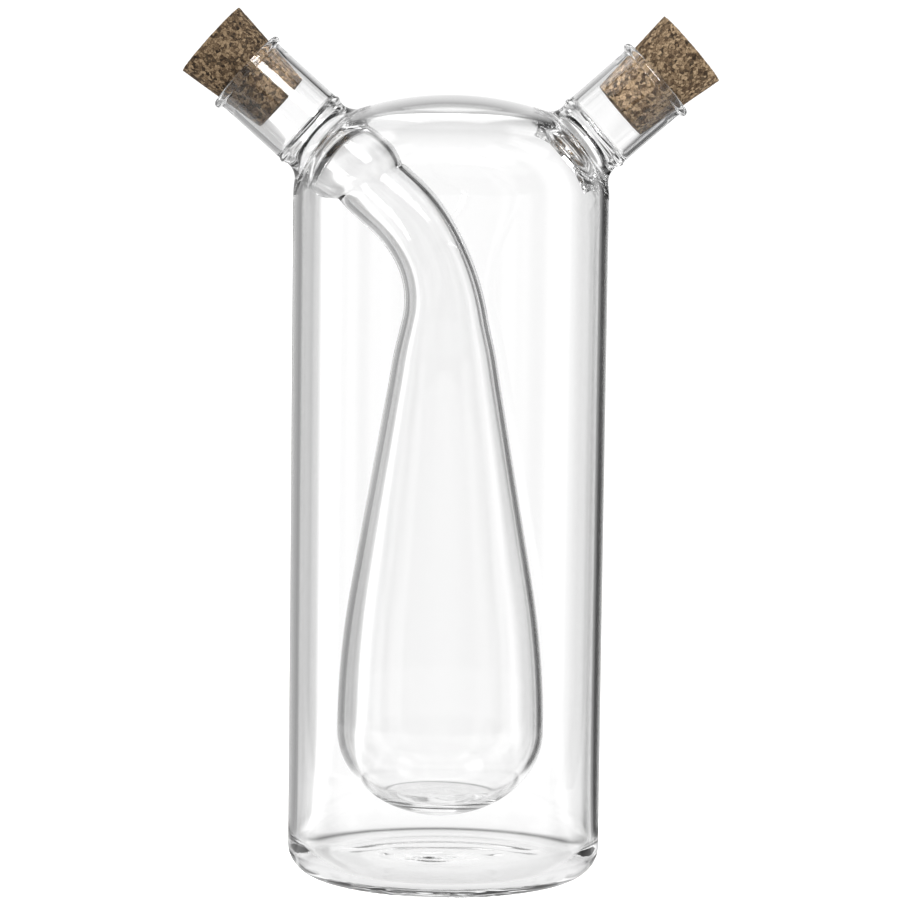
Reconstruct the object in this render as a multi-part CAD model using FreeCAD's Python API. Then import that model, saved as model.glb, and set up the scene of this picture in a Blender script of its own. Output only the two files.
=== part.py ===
# Oil and vinegar cruet: a tall glass bottle with a second, teardrop-shaped flask sealed inside it.
# Two short necks lean out of the shoulder. The left one (-X) leads into the inner flask, which holds
# the vinegar, and the right one (+X) leads into the bottle round it, which holds the oil. The bottle,
# the necks and the flask are flame-welded into one piece of glass. A tapered cork closes each neck.
#
# Units are millimetres. The origin is on the bottle's axis, in the plane that the foot stands on.
# +Z is up, the necks lean along -X and +X, and the front of the cruet faces -Y.

import FreeCAD
import Part
import math
import os

from FreeCAD import Vector

# Which way each neck leans along X
VINEGAR = -1
OIL = 1

# Bottle
body_diameter = 70.0
body_height = 174.2
body_wall = 2.0
base_thickness = 3.2
foot_corner_radius = 6.6
foot_ring_width = 3.6
punt_depth = 0.8
floor_corner_radius = 4.6
shoulder_radius = 20.0
crown_radius = 66.0

# Floor of the bottle: a pip in the middle, where the blown base was closed, and rings round it
floor_pip_height = 0.55
floor_ring_pitch = 7.2
floor_ring_height = 0.16
floor_ring_count = 3

# Necks: lengths are along a neck's own axis, from the skin of the shoulder
neck_tilt = 48.5
neck_diameter = 18.3
neck_wall = 1.25
vinegar_neck_length = 21.4
oil_neck_length = 20.5
lip_roll = 1.05
lip_thickness = 1.8
lip_sweep = 1.6
mouth_depth = 4.9
mouth_edge = 0.3

# Welds between the shoulder and the necks
collar_inset = 0.25
root_fillet_radius = 4.0
weld_bead_height = 1.8
weld_bead_rise = 0.35
weld_bead_width = 1.7
weld_bore_inset = 1.0
weld_step_start = 1.6
weld_step_length = 2.0
inner_rim_stand = 1.85
inner_rim_fillet_radius = 2.0

# Inner flask: a bell below the weld, a pinch, a bent tube and a pear-shaped bulb
flask_wall = 1.5
bell_diameter = 20.1
bell_length = 15.6
bell_seal_radius = 1.2
pinch_diameter = 16.2
pinch_offset = 0.5
pinch_tilt = 18.3
tube_lead = 6.6
tube_diameter = 15.7
waist_diameter = 22.5
waist_drop = 6.5
waist_length = 26.0
flask_axis_offset = -1.0
flask_diameter = 46.3
flask_floor_gap = 10.2
flask_base_depth = 19.2
flask_side_rise = 33.0

# Corks
cork_taper = 6.4
cork_length = 21.0
vinegar_cork_depth = 11.0
oil_cork_depth = 11.2
cork_edge = 0.3
cork_clearance = 0.07

# Shape of the bell: how far down it each ring is, and how much of its swelling the ring has. Above
# the widest ring it swells from the neck's width, and below it from the pinch's.
bell_top_shape = ((0.0, 0.0), (0.2, 0.12), (0.385, 0.85), (0.6, 1.0))
bell_foot_shape = ((0.83, 0.72), (1.0, 0.0))

# Rings that the waist and the bend of the flask are drawn through, evenly spaced
WAIST_RINGS = 2
BEND_RINGS = 5

# Rounds in which the lean of the flask's taper settles
LEAN_ROUNDS = 30

# An edge is looked for within a hair of its place, at this many points along it
HAIR = 0.05
EDGE_POINTS = 5

# A cubic curve with its handles at this share of its reach is a quarter of an ellipse
QUARTER_ROUND = 0.5523

tilt = math.radians(neck_tilt)
taper = math.tan(math.radians(cork_taper))

body_radius = body_diameter / 2
neck_radius = neck_diameter / 2
bore_radius = neck_radius - neck_wall
mouth_radius = bore_radius + mouth_depth * taper
collar_radius = neck_radius - collar_inset
weld_bore_radius = bore_radius - weld_bore_inset
pinch_radius = pinch_diameter / 2
tube_radius = tube_diameter / 2
waist_radius = waist_diameter / 2
flask_radius = flask_diameter / 2

# The shoulder's arc touches the wall and the crown. Each neck's axis passes through its centre.
shoulder_x = body_radius - shoulder_radius
shoulder_rise = math.sqrt((crown_radius - shoulder_radius) ** 2 - shoulder_x**2)
shoulder_z = body_height - crown_radius + shoulder_rise

# How deep below the skin the oil neck's inner rim ends, a little past the inside of the wall
inner_rim_depth = (
    shoulder_radius
    - math.sqrt((shoulder_radius - body_wall) ** 2 - collar_radius**2)
    + inner_rim_stand
)

# Heights of the bottom of the flask and of its widest ring
flask_bottom_z = base_thickness + flask_floor_gap
flask_widest_z = flask_bottom_z + flask_base_depth


def at(radius, height):
    """A point of a profile, by its distance from the axis and its height."""
    return Vector(radius, 0, height)


def line(start, end):
    return Part.makeLine(at(*start), at(*end))


def arc(start, middle, end):
    return Part.Arc(at(*start), at(*middle), at(*end)).toShape()


def arc_about(centre, radius, first, last):
    """An arc about a centre, from one angle above the horizontal to another, in degrees."""

    def rim(angle):
        turn = math.radians(angle)
        return centre[0] + radius * math.cos(turn), centre[1] + radius * math.sin(turn)

    return arc(rim(first), rim((first + last) / 2), rim(last))


def bezier(*points):
    curve = Part.BezierCurve()
    curve.setPoles([at(*point) for point in points])
    return curve.toShape()


def turned(edges):
    """The solid that a closed profile makes when it turns once round the Z axis."""
    face = Part.Face(Part.Wire(edges))
    return face.revolve(Vector(0, 0, 0), Vector(0, 0, 1), 360)


def seam_at_back(solid):
    """Brings the line where a turned solid's surfaces begin and end to the back, clear of the necks."""
    solid.rotate(Vector(0, 0, 0), Vector(0, 0, 1), 90)
    return solid


def joined(first, *others):
    return first.multiFuse(list(others)).removeSplitter()


def mix(first, second, share):
    return first + (second - first) * share


def on_neck(shape, side):
    """Carries a shape from the Z axis to a neck, with height 0 at the skin of the shoulder."""
    shape.translate(Vector(0, 0, shoulder_radius))
    shape.rotate(Vector(0, 0, 0), Vector(0, 1, 0), side * neck_tilt)
    shape.translate(Vector(side * shoulder_x, 0, shoulder_z))
    return shape


def shoulder_and_crown(inset):
    """The profile of the bottle from the top of its wall to its axis, at a depth below its skin."""
    touch = math.degrees(math.atan2(shoulder_rise, shoulder_x))
    crown_centre = (0, body_height - crown_radius)
    return [
        arc_about((shoulder_x, shoulder_z), shoulder_radius - inset, 0, touch),
        arc_about(crown_centre, crown_radius - inset, touch, 90),
    ]


def body_outside():
    """The outer skin of the bottle, with a flat ring to stand on and a shallow hollow inside it."""
    foot_outer = body_radius - foot_corner_radius
    foot_inner = foot_outer - foot_ring_width
    punt_radius = (foot_inner**2 + punt_depth**2) / (2 * punt_depth)
    punt_edge = 90 - math.degrees(math.asin(foot_inner / punt_radius))
    edges = [
        arc_about((0, punt_depth - punt_radius), punt_radius, 90, punt_edge),
        line((foot_inner, 0), (foot_outer, 0)),
        arc_about((foot_outer, foot_corner_radius), foot_corner_radius, -90, 0),
        line((body_radius, foot_corner_radius), (body_radius, shoulder_z)),
    ]
    edges += shoulder_and_crown(0)
    edges.append(line((0, body_height), (0, punt_depth)))
    return seam_at_back(turned(edges))


def floor_profile():
    """The floor from the pip at the axis out over its rings, each lower than the one inside it."""
    points = [at(0, base_thickness + floor_pip_height)]
    turns = 2 * floor_ring_count
    for turn in range(1, turns + 1):
        rise = floor_ring_height * (1 - turn / turns)
        if turn % 2:
            rise = -rise
        points.append(at(turn * floor_ring_pitch / 2, base_thickness + rise))
    curve = Part.BSplineCurve()
    level = Vector(1, 0, 0)
    curve.interpolate(Points=points, InitialTangent=level, FinalTangent=level)
    return curve.toShape()


def body_inside():
    """The hollow of the bottle, before the flask and the welds take their share of it."""
    radius = body_radius - body_wall
    rings_end = (floor_ring_count * floor_ring_pitch, base_thickness)
    corner = (radius - floor_corner_radius, base_thickness + floor_corner_radius)
    top = body_height - body_wall
    edges = [
        floor_profile(),
        line(rings_end, (corner[0], base_thickness)),
        arc_about(corner, floor_corner_radius, -90, 0),
        line((radius, corner[1]), (radius, shoulder_z)),
    ]
    edges += shoulder_and_crown(body_wall)
    edges.append(line((0, top), (0, base_thickness + floor_pip_height)))
    return seam_at_back(turned(edges))


def collar(side):
    """The drawn-up rim of the shoulder's hole, which the neck is welded to. It runs on up inside
    the neck's glass, so that the rounding at its root always has room."""
    sunk = shoulder_radius / 2
    height = sunk + weld_bead_height + root_fillet_radius
    return on_neck(Part.makeCylinder(collar_radius, height, Vector(0, 0, -sunk)), side)


def neck_outside(side, length):
    """The weld's bead, the tube above it and the rolled lip."""
    half_bead = weld_bead_width / 2
    bead_foot = weld_bead_height - half_bead
    bead_top = weld_bead_height + half_bead
    half_lip = lip_thickness / 2
    lip_radius = neck_radius + lip_roll
    lip_core = lip_radius - half_lip
    lip_foot = length - lip_thickness
    sweep_foot = lip_foot - lip_sweep
    sunk_radius = collar_radius - collar_inset
    edges = [
        line((0, bead_foot), (sunk_radius, bead_foot)),
        arc(
            (sunk_radius, bead_foot),
            (neck_radius + weld_bead_rise, weld_bead_height),
            (neck_radius, bead_top),
        ),
        line((neck_radius, bead_top), (neck_radius, sweep_foot)),
        line((neck_radius, sweep_foot), (lip_core, lip_foot)),
        arc((lip_core, lip_foot), (lip_radius, length - half_lip), (lip_core, length)),
        line((lip_core, length), (0, length)),
        line((0, length), (0, bead_foot)),
    ]
    return on_neck(turned(edges), side)


def neck_bore(side, length, depth):
    """The way through a neck: a narrow weld, the tube's bore and a mouth with the cork's taper."""
    step_end = weld_step_start + weld_step_length
    step_middle = weld_step_start + weld_step_length / 2
    mouth_foot = length - mouth_depth
    edge = mouth_edge
    clear_of_lip = length + lip_thickness
    edges = [
        line((0, -depth), (weld_bore_radius, -depth)),
        line((weld_bore_radius, -depth), (weld_bore_radius, weld_step_start)),
        bezier(
            (weld_bore_radius, weld_step_start),
            (weld_bore_radius, step_middle),
            (bore_radius, step_middle),
            (bore_radius, step_end),
        ),
        line((bore_radius, step_end), (bore_radius, mouth_foot)),
        line((bore_radius, mouth_foot), (mouth_radius - edge * taper, length - edge)),
        line((mouth_radius - edge * taper, length - edge), (mouth_radius + edge, length)),
        line((mouth_radius + edge, length), (mouth_radius + edge, clear_of_lip)),
        line((mouth_radius + edge, clear_of_lip), (0, clear_of_lip)),
        line((0, clear_of_lip), (0, -depth)),
    ]
    return on_neck(turned(edges), side)


def inner_rim():
    """The end of the oil neck's weld, which stands a little way into the bottle, rounded off."""
    middle = (collar_radius + weld_bore_radius) / 2
    rounding = (collar_radius - weld_bore_radius) / 2
    shoulder = -inner_rim_depth + rounding
    edges = [
        line((weld_bore_radius, 0), (weld_bore_radius, shoulder)),
        arc((weld_bore_radius, shoulder), (middle, -inner_rim_depth), (collar_radius, shoulder)),
        line((collar_radius, shoulder), (collar_radius, 0)),
        line((collar_radius, 0), (weld_bore_radius, 0)),
    ]
    return on_neck(turned(edges), OIL)


def ring(centre, lean, radius):
    """A round section of the flask, its plane tipped by an angle from the level, in degrees."""
    wire = Part.Wire(Part.makeCircle(radius))
    wire.rotate(Vector(0, 0, 0), Vector(0, 1, 0), -lean)
    wire.translate(centre)
    return wire


def loft(rings):
    """A smooth solid through a row of rings."""
    return Part.makeLoft(rings, True, False, False, 3)


def bell_centre(share):
    """The middle of the bell, part of the way down it. It drifts off the neck's axis."""
    depth = shoulder_radius - bell_length * share
    drift = pinch_offset * share**2
    x = -shoulder_x - depth * math.sin(tilt) + drift * math.cos(tilt)
    z = shoulder_z + depth * math.cos(tilt) + drift * math.sin(tilt)
    return Vector(x, 0, z)


def bell(throat, widest, pinch):
    """The bell from the weld to the pinch, with its rings tipping over as it goes down."""
    stations = [(share, mix(throat, widest, swell)) for share, swell in bell_top_shape]
    stations += [(share, mix(pinch, widest, swell)) for share, swell in bell_foot_shape]
    rings = []
    for share, radius in stations:
        lean = neck_tilt - pinch_tilt * share**2
        rings.append(ring(bell_centre(share), lean, radius))
    return loft(rings)


def bend():
    """Where the tube turns down: its radius, its centre and the height of the waist below it."""
    pinch = bell_centre(1)
    reach = (flask_axis_offset - pinch.x) / math.sin(tilt)
    tangent = reach - tube_lead
    radius = tangent / math.tan(tilt / 2)
    end_z = pinch.z - reach * math.cos(tilt) - tangent
    return {
        "radius": radius,
        "centre": Vector(flask_axis_offset - radius, 0, end_z),
        "waist_z": end_z - waist_drop,
    }


def taper_lean():
    """The lean of the flask's straight taper, from the end of the side's arc to the waist. Each
    round takes what the arc draws in from the narrowing, and leaves the rest to the taper."""
    narrowing = flask_radius - waist_radius
    straight = bend()["waist_z"] - flask_widest_z - flask_side_rise
    lean = 0
    for _ in range(LEAN_ROUNDS):
        lean = math.atan2(narrowing - flask_side_rise * math.tan(lean / 2), straight)
    return lean


def side_radius():
    return flask_side_rise / math.sin(taper_lean())


def taper_foot(inset):
    """Where the side's arc meets the straight taper: its distance from the axis and its height."""
    lean = taper_lean()
    side = side_radius() - inset
    radius = flask_radius - side_radius() + side * math.cos(lean)
    return radius, flask_widest_z + side * math.sin(lean)


def taper_radius(height, inset):
    """How far the straight taper is from the flask's axis at a height."""
    foot_radius, foot_z = taper_foot(inset)
    share = (height - foot_z) / (bend()["waist_z"] - foot_z)
    return mix(foot_radius, waist_radius - inset, share)


def taper_top():
    """Height at which the turned bulb ends and the drawn tube begins, a little below the waist."""
    turn = bend()
    return turn["waist_z"] - WAIST_RINGS * turn["radius"] * tilt / BEND_RINGS


def tube(inset):
    """The flask from the top of its straight taper, through the waist and the bend, to the pinch."""
    turn = bend()
    rings = []
    for step in range(WAIST_RINGS + 1):
        height = mix(taper_top(), turn["waist_z"], step / WAIST_RINGS)
        centre = Vector(flask_axis_offset, 0, height)
        rings.append(ring(centre, 0, taper_radius(height, inset)))

    arc_length = turn["radius"] * tilt
    whole = waist_drop + arc_length + tube_lead
    for step in range(BEND_RINGS + 1):
        share = step / BEND_RINGS
        angle = tilt * share
        along = waist_drop + arc_length * share
        wide = (waist_radius - tube_radius) * max(0, 1 - along / waist_length) ** 2
        flare = (pinch_radius - tube_radius) * (along / whole) ** 4
        out = Vector(math.cos(angle), 0, math.sin(angle)) * turn["radius"]
        radius = tube_radius + wide + flare
        rings.append(ring(turn["centre"] + out, math.degrees(angle), radius - inset))

    rings.append(ring(bell_centre(1), neck_tilt - pinch_tilt, pinch_radius - inset))
    return loft(rings)


def bulb(inset):
    """The pear-shaped end of the flask up to the top of its straight taper, in one turning."""
    radius = flask_radius - inset
    low = flask_bottom_z + inset
    top = taper_top()
    side_centre = (flask_radius - side_radius(), flask_widest_z)
    edges = [
        bezier(
            (0, low),
            (radius * QUARTER_ROUND, low),
            (radius, mix(flask_widest_z, low, QUARTER_ROUND)),
            (radius, flask_widest_z),
        ),
        arc_about(side_centre, side_radius() - inset, 0, math.degrees(taper_lean())),
        line(taper_foot(inset), (taper_radius(top, inset), top)),
        line((taper_radius(top, inset), top), (0, top)),
        line((0, top), (0, low)),
    ]
    solid = turned(edges)
    solid.translate(Vector(flask_axis_offset, 0, 0))
    return solid


def flask_outside():
    return joined(bulb(0), tube(0), bell(collar_radius, bell_diameter / 2, pinch_radius))


def flask_inside():
    wall = flask_wall
    return joined(
        bulb(wall),
        tube(wall),
        bell(weld_bore_radius, bell_diameter / 2 - wall, pinch_radius - wall),
    )


def edges_round_neck(shape, side, distances, heights):
    """Edges that run right round a neck, within a range of distances from its axis and within
    a range of heights above the skin of the shoulder."""
    origin = Vector(side * shoulder_x, 0, shoulder_z)
    axis = Vector(side * math.sin(tilt), 0, math.cos(tilt))
    found = []
    for edge in shape.Edges:
        if edge.Length < collar_radius:
            continue
        placed = []
        for point in edge.discretize(EDGE_POINTS):
            out = point - origin
            height = out.dot(axis) - shoulder_radius
            distance = (out - axis * out.dot(axis)).Length
            near = distances[0] < distance < distances[1]
            placed.append(near and heights[0] < height < heights[1])
        if all(placed):
            found.append(edge)
    return found


def glass_vessel():
    """Bottle, necks and flask as one piece of glass."""
    form = joined(body_outside(), collar(VINEGAR), collar(OIL))
    near_collar = (collar_radius - HAIR, collar_radius + HAIR)
    roots = []
    for side in (VINEGAR, OIL):
        roots += edges_round_neck(form, side, near_collar, (-shoulder_radius / 2, HAIR))
    form = form.makeFillet(root_fillet_radius, roots)
    form = joined(
        form, neck_outside(VINEGAR, vinegar_neck_length), neck_outside(OIL, oil_neck_length)
    )
    oil_space = body_inside().cut(flask_outside()).cut(inner_rim())
    rim_end = -inner_rim_depth + (collar_radius - weld_bore_radius) / 2
    rims = edges_round_neck(oil_space, OIL, near_collar, (rim_end + HAIR, 0))
    oil_space = oil_space.makeFillet(inner_rim_fillet_radius, rims)
    near_bell = (weld_bore_radius, bell_diameter / 2 + bell_seal_radius)
    seals = edges_round_neck(oil_space, VINEGAR, near_bell, (-bell_length / 2, 0))
    oil_space = oil_space.makeFillet(bell_seal_radius, seals)
    vinegar_bore = neck_bore(VINEGAR, vinegar_neck_length, 0)
    oil_bore = neck_bore(OIL, oil_neck_length, inner_rim_depth)
    oil_space = joined(oil_space, oil_bore)
    vinegar_space = joined(flask_inside(), vinegar_bore)
    return form.cut(oil_space).cut(vinegar_space)


def cork(side, length, depth):
    """A tapered stopper in its neck, with its narrow end down and its edges just broken."""
    wide = mouth_radius - cork_clearance + (cork_length - depth) * taper
    narrow = wide - cork_length * taper
    solid = Part.makeCone(narrow, wide, cork_length, Vector(0, 0, length - depth))
    rims = [edge for edge in solid.Edges if isinstance(edge.Curve, Part.Circle)]
    return on_neck(solid.makeChamfer(cork_edge, rims), side)


def main():
    parts = {
        "glass_vessel": glass_vessel(),
        "vinegar_cork": cork(VINEGAR, vinegar_neck_length, vinegar_cork_depth),
        "oil_cork": cork(OIL, oil_neck_length, oil_cork_depth),
    }
    os.makedirs("parts", exist_ok=True)
    for name, shape in parts.items():
        solid = shape.Solids[0]
        solid.exportStep(f"parts/{name}.step")
        print(name, "volume", round(solid.Volume / 1000, 2), "cm3")


main()
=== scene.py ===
# %% [markdown]
# An oil and vinegar cruet of clear blown glass, with two cork stoppers.
# The measured model is loaded first. It fixes where everything is, so each new piece is made in the
# same place and to the same sizes. Metres are used throughout, and the glass is drawn in millimetres
# and scaled down once at the end, because its sizes are easier to read that way.

# %% Load the measured model
import math

import bmesh
import bpy
from mathutils import Matrix, Vector, noise


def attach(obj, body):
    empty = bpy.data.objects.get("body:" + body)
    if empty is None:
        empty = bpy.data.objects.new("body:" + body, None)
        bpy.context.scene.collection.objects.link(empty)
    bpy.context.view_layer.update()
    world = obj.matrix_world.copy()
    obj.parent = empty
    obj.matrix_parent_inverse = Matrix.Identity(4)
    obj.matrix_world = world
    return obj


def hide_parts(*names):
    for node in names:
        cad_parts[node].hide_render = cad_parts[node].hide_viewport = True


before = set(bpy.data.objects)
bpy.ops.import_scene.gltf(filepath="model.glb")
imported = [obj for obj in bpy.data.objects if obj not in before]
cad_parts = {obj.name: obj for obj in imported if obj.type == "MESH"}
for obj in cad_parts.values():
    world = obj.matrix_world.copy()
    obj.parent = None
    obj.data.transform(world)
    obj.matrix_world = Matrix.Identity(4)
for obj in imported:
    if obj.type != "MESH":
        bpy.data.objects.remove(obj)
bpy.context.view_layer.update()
scene = bpy.context.scene
MM = 0.001

# %% [markdown]
# The camera stands a little above the cruet and looks down by about six degrees, with a long lens, as
# for a catalogue picture. The lens and the small shift of the frame follow from where the bottle's
# edges lie in the picture, so they are written as the fit gave them.

# %% Camera
camera_distance = 0.8
camera_height = 0.1637
camera_pitch = 5.96
camera_roll = 0.73
picture_width = 900
lens_in_frames = 3599.1 / picture_width
frame_centre = (-2.84 / picture_width, 68.04 / picture_width)
sensor_width, near_end = 36, 0.01

camera = bpy.data.cameras.new("camera")
camera.sensor_width = sensor_width
camera.lens = camera.sensor_width * lens_in_frames
camera.shift_x = -frame_centre[0]
camera.shift_y = frame_centre[1]
camera.clip_start = near_end
camera_object = bpy.data.objects.new("camera", camera)
camera_object.matrix_world = (
    Matrix.Translation((0, -camera_distance, camera_height))
    @ Matrix.Rotation(math.radians(90 - camera_pitch), 4, "X")
    @ Matrix.Rotation(math.radians(camera_roll), 4, "Z")
)
scene.collection.objects.link(camera_object)
scene.camera = camera_object
print("lens", round(camera.lens, 1), "mm")

# %% [markdown]
# Materials are small graphs of nodes. These two helpers start a material and add a node to it, so
# that each finish below reads as a list of what it is made of.

# %% Helpers for materials


def new_material(name):
    material = bpy.data.materials.new(name)
    material.use_nodes = True
    return material, material.node_tree, material.node_tree.nodes["Principled BSDF"]


def add_node(tree, kind, settings=None, **inputs):
    """Adds a node, sets its fields, and links or sets its inputs by name."""
    node = tree.nodes.new(kind)
    for field, value in (settings or {}).items():
        setattr(node, field, value)
    for name, value in inputs.items():
        socket = node.inputs[int(name[1:])] if name[0] == "_" else node.inputs[name.replace("_", " ")]
        if isinstance(value, bpy.types.NodeSocket):
            tree.links.new(value, socket)
        else:
            socket.default_value = value
    return node


def math_node(tree, operation, *values):
    node = add_node(tree, "ShaderNodeMath", {"operation": operation})
    for socket, value in zip(node.inputs, values):
        if isinstance(value, bpy.types.NodeSocket):
            tree.links.new(value, socket)
        else:
            socket.default_value = value
    return node.outputs[0]


def ramp_node(tree, factor, stops):
    """A colour ramp from (place, colour) stops. A colour may be one grey value."""
    node = tree.nodes.new("ShaderNodeValToRGB")
    tree.links.new(factor, node.inputs[0])
    ramp = node.color_ramp
    for index, (place, colour) in enumerate(stops):
        if index > 1:
            ramp.elements.new(place)
    for element, (place, colour) in zip(ramp.elements, stops):
        element.position = place
        grey = isinstance(colour, (int, float))
        element.color = (colour,) * 3 + (1,) if grey else tuple(colour) + (1,)
    return node.outputs[0]


def new_object(name, bm, *materials):
    """A new object at the origin from a finished bmesh."""
    mesh = bpy.data.meshes.new(name)
    bm.to_mesh(mesh)
    bm.free()
    piece = bpy.data.objects.new(name, mesh)
    scene.collection.objects.link(piece)
    for material in materials:
        mesh.materials.append(material)
    return piece


print("helpers ready")

# %% [markdown]
# The cruet stands on white paper that runs out of the picture on all sides. Paper is matt, so it is
# diffuse only, with a faint mottle. A little light of its own stands for the light that a real white
# studio throws about.

# %% White paper floor
paper, tree, shader = new_material("white_paper")
place = add_node(tree, "ShaderNodeTexCoord").outputs["Object"]
fibres = add_node(tree, "ShaderNodeTexNoise", Vector=place, Scale=9.0, Detail=4.0).outputs[0]
tree.links.new(ramp_node(tree, fibres, [(0.3, 0.88), (0.7, 0.92)]), shader.inputs["Base Color"])
shader.inputs["Roughness"].default_value = 0.9
shader.inputs["Specular IOR Level"].default_value = 0.0
shader.inputs["Emission Color"].default_value = (1, 1, 1, 1)
shader.inputs["Emission Strength"].default_value = 0.25

paper_size, paper_height = 6, -0.0002
bm = bmesh.new()
bmesh.ops.create_grid(
    bm, x_segments=1, y_segments=1, size=paper_size, matrix=Matrix.Translation((0, 0, paper_height))
)
floor = new_object("paper_floor", bm, paper)
print("floor", floor.dimensions[:2])

# %% White studio round it
# rays cross many skins of glass one after another, so they may bend often
studio_light = 1.1
studio = bpy.data.worlds.new("white_studio")
studio.use_nodes = True
background = studio.node_tree.nodes["Background"]
background.inputs["Color"].default_value = (1, 1, 1, 1)
background.inputs["Strength"].default_value = studio_light
scene.world = studio
scene.view_settings.view_transform = "Standard"
scene.cycles.caustics_reflective = False
scene.cycles.caustics_refractive = True
scene.cycles.max_bounces = 32
scene.cycles.transmission_bounces = 32
scene.cycles.glossy_bounces = 16
print("studio", studio.name)

# %% [markdown]
# Clear glass has no colour of its own: what shows is what it bends into view. A photographer puts a
# white wall behind the glass and dark cards just outside the picture. A ray near an edge of the glass
# is bent most and reaches a card, which draws the edge dark, and a bright window draws a light one.
# The cards here are one tall ring with a lid and a disc on the floor, and only the glass sees them.
# Three things decide their light: the direction, counted from each side of the bottle towards the
# back, the height, and on the floor the distance from the bottle. The disc on the floor is mostly
# plain paper near the bottle, with painted shadow on it: a soft shade under the foot and one thin
# dark ring round it.

# %% Directions of the cards and windows
# (degrees from straight back, brightness), first for the left half and then for the right half
left_cards = [
    (0, 1.08), (2.5, 1.1), (3.5, 1.3), (6.7, 1.3), (7.2, 0.7), (8.2, 0.64), (9.1, 0.56), (10.5, 0.5), (14, 0.45),
    (29, 0.4), (32, 0.3), (39, 0.3), (43, 0.6), (58, 0.7), (62, 1.4), (86, 1.4), (92, 0.9), (98, 0.12),
    (125, 0.12), (130, 0.8), (140, 0.8), (145, 0.25), (180, 0.4),
]
right_cards = [
    (0, 1.08), (3, 1.1), (5, 1.0), (10.5, 0.95), (12.5, 0.75), (14, 0.45), (16, 0.12), (18, 0.05), (31, 0.04),
    (36, 0.2), (40.5, 0.8), (50, 0.9), (55, 0.3), (80, 0.3), (84, 1.0), (96, 1.0), (100, 0.12), (125, 0.12),
    (132, 0.8), (145, 0.25), (180, 0.4),
]
height_of_cards = 1.2
# (height in metres, share of the brightness): the wall's upper half is darker, with one high window
rows_of_cards = [
    (0, 1.0), (0.18, 1.0), (0.2, 0.85), (0.22, 0.74), (0.25, 0.66), (0.28, 0.5), (0.32, 0.28), (0.345, 0.28),
    (0.37, 1.9), (0.6, 1.9), (0.7, 0.1), (1.2, 0.1),
]
# (distance from the bottle's middle in metres, share of the brightness) on the floor: painted shadow,
# soft under the foot and in one thin dark ring round it
shade_of_foot = [
    (0, 0.9), (0.021, 0.85), (0.0245, 0.72), (0.0285, 0.72), (0.031, 0.9), (0.0395, 0.85), (0.041, 0.22),
    (0.043, 0.22), (0.0445, 0.9), (0.05, 1.0),
]
# the paper is plain white within this distance of the middle, and half white in front of the bottle
plain_paper, cards_begin, front_of_paper, front_share = 0.04, 0.07, -0.03, 0.5
card_floor = -0.0001
bottle_side = 0.033
# on the left the cards lean out beside the neck, by this much between these two heights
neck_clearance, clearance_from, clearance_to = 0.035, 0.155, 0.195
# a ramp holds nothing brighter than 1, so the lights are halved in it and doubled again afterwards
ramp_share = 0.5


def card_light(name):
    """Light that depends on the direction from the nearer side of the bottle, and on the place."""
    material = bpy.data.materials.new(name)
    material.use_nodes = True
    tree = material.node_tree
    tree.nodes.clear()
    place = add_node(tree, "ShaderNodeTexCoord").outputs["Object"]
    split = add_node(tree, "ShaderNodeSeparateXYZ", _0=place)
    x, y, z = split.outputs
    leaning = add_node(
        tree, "ShaderNodeMapRange", Value=z, _1=clearance_from, _2=clearance_to, _3=0.0, _4=neck_clearance
    ).outputs[0]
    leaning = math_node(tree, "MULTIPLY", leaning, math_node(tree, "LESS_THAN", x, 0.0))
    side = math_node(tree, "ADD", leaning, bottle_side)
    out = math_node(tree, "MAXIMUM", math_node(tree, "SUBTRACT", math_node(tree, "ABSOLUTE", x), side), 0.0)
    share = math_node(tree, "DIVIDE", math_node(tree, "ARCTAN2", out, y), math.pi)
    sides = [
        ramp_node(tree, share, [(angle / 180, light * ramp_share) for angle, light in cards])
        for cards in (left_cards, right_cards)
    ]
    right = math_node(tree, "GREATER_THAN", x, 0.0)
    mixed = add_node(tree, "ShaderNodeMix", {"data_type": "RGBA"}, _0=right, _6=sides[0], _7=sides[1])
    rise = math_node(tree, "DIVIDE", z, height_of_cards)
    level = ramp_node(
        tree, rise, [(height / height_of_cards, light * ramp_share) for height, light in rows_of_cards]
    )
    distance = math_node(tree, "SQRT", math_node(
        tree, "ADD", math_node(tree, "MULTIPLY", x, x), math_node(tree, "MULTIPLY", y, y)
    ))
    # painted shadow: the floor's light is dimmed under the foot and in a thin ring round it
    shade = ramp_node(tree, distance, shade_of_foot)
    near = add_node(
        tree, "ShaderNodeMapRange", Value=distance, _1=plain_paper, _2=cards_begin, _3=1.0, _4=0.0
    ).outputs[0]
    front = math_node(tree, "MULTIPLY", math_node(tree, "LESS_THAN", y, front_of_paper), front_share)
    on_floor = math_node(tree, "LESS_THAN", z, MM)
    paper_share = math_node(tree, "MULTIPLY", on_floor, math_node(tree, "MAXIMUM", near, front))
    lit = add_node(
        tree, "ShaderNodeMix", {"data_type": "RGBA"}, _0=paper_share, _6=mixed.outputs[2],
        _7=(ramp_share, ramp_share, ramp_share, 1),
    )
    strength = math_node(tree, "MULTIPLY", math_node(tree, "MULTIPLY", level, shade), 1 / ramp_share**2)
    glow = add_node(tree, "ShaderNodeEmission", Color=lit.outputs[2], Strength=strength)
    add_node(tree, "ShaderNodeOutputMaterial", Surface=glow.outputs[0])
    return material


def hide_from_all_but_glass(piece):
    piece.visible_camera = False
    piece.visible_diffuse = False
    piece.visible_shadow = False


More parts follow.
